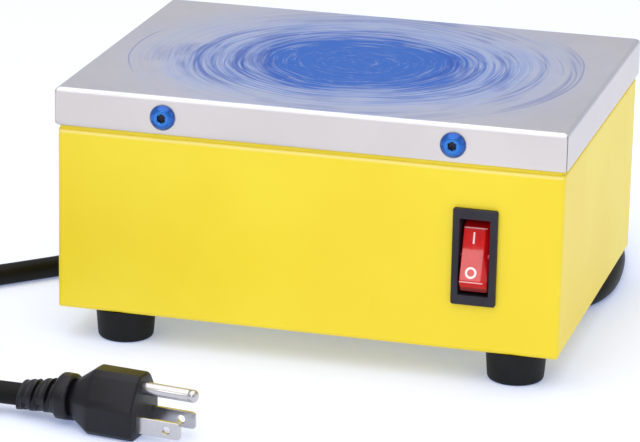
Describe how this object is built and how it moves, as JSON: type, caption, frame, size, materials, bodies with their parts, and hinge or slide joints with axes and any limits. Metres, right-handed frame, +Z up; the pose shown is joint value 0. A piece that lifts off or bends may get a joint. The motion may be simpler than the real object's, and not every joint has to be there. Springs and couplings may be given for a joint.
{
  "type": "magnetic tumbler drive base",
  "caption": "Closed sheet-metal drive box with a plain steel top plate over a motor-driven magnet disc, rocker switch, rubber feet, mains cord and plug.",
  "frame": {"origin": "on the table, under the middle of the top plate: the middle of the case's box, at its bottom", "axes": "+X to the right along the long side, +Y to the back, +Z up out of the top plate"},
  "size_m": [0.3307, 0.3399, 0.1015],
  "materials": {
    "yellow_powder_coat": "smooth satin powder coat",
    "brushed_steel": "brushed, with blue circular scuffs worn into it",
    "blue_anodised": "blue coated",
    "zinc_steel": "zinc plated",
    "foot_rubber": "matt moulded rubber",
    "galvanised_sheet": "galvanised",
    "black_enamel": "black enamel",
    "cast_aluminium": "cast and turned",
    "lamination_steel": "stacked laminations",
    "copper": "enamelled copper wire",
    "bearing_steel": "ground",
    "white_plastic": "moulded",
    "nickel_magnet": "nickel plated",
    "switch_plastic": "fine satin moulding",
    "rocker_red": "glossy translucent red",
    "lamp_glass": "lamp envelope",
    "brass": "plain",
    "wire_insulation": "PVC insulation",
    "cord_jacket": "satin PVC jacket",
    "tie_nylon": "woven nylon hook and loop",
    "plug_moulding": "satin moulded PVC",
    "nickel_plate": "nickel-plated brass"
  },
  "bodies": {
    "case": {"case_tray": "yellow_powder_coat", "top_cover": "brushed_steel", "cover_screws": "blue_anodised", "clinch_nuts": "zinc_steel", "rubber_feet": "foot_rubber", "foot_screws": "zinc_steel", "foot_nuts": "zinc_steel", "motor_bracket": "galvanised_sheet", "bracket_posts": "zinc_steel", "post_screws": "zinc_steel", "bracket_screws": "zinc_steel", "motor_can": "black_enamel", "upper_end_bell": "cast_aluminium", "lower_end_bell": "cast_aluminium", "motor_mount_screws": "zinc_steel", "stator_core": "lamination_steel", "stator_windings": "copper", "upper_bearing_outer": "bearing_steel", "upper_bearing_balls": "bearing_steel", "lower_bearing_outer": "bearing_steel", "lower_bearing_balls": "bearing_steel", "switch_housing": "switch_plastic", "switch_terminals": "brass", "run_capacitor": "white_plastic", "capacitor_strap": "galvanised_sheet", "terminal_block": "white_plastic", "earth_stud": "brass", "earth_nuts": "brass", "earth_lug": "brass", "supply_wires": "wire_insulation", "switch_wires": "wire_insulation", "motor_leads": "wire_insulation", "capacitor_leads": "wire_insulation", "strain_relief": "cord_jacket", "gland_nut": "switch_plastic", "cord_inner_end": "cord_jacket", "power_cord": "cord_jacket", "power_cord_coil": "cord_jacket", "power_cord_tail": "cord_jacket", "cord_tie": "tie_nylon", "plug_body": "plug_moulding", "plug_blades": "nickel_plate", "plug_ground_pin": "nickel_plate"},
    "spindle": {"spindle_shaft": "bearing_steel", "rotor_core": "lamination_steel", "upper_bearing_inner": "bearing_steel", "lower_bearing_inner": "bearing_steel", "cooling_fan": "white_plastic", "shaft_clip": "zinc_steel", "magnet_hub": "cast_aluminium", "hub_set_screws": "zinc_steel", "magnet_disc": "cast_aluminium", "disc_screws": "zinc_steel", "drive_magnets": "nickel_magnet"},
    "rocker": {"switch_rocker": "rocker_red", "rocker_lamp": "lamp_glass"}
  },
  "joints": [
    {"name": "spindle_spin", "type": "hinge", "parent": "case", "child": "spindle", "pos_m": [0, 0, 0.05], "axis": [0, 0, 1], "continuous": true},
    {"name": "rocker_tilt", "type": "hinge", "parent": "case", "child": "rocker", "pos_m": [0.0664, -0.0724, 0.0505], "axis": [1, 0, 0], "range_deg": [0, 34]}
  ]
}
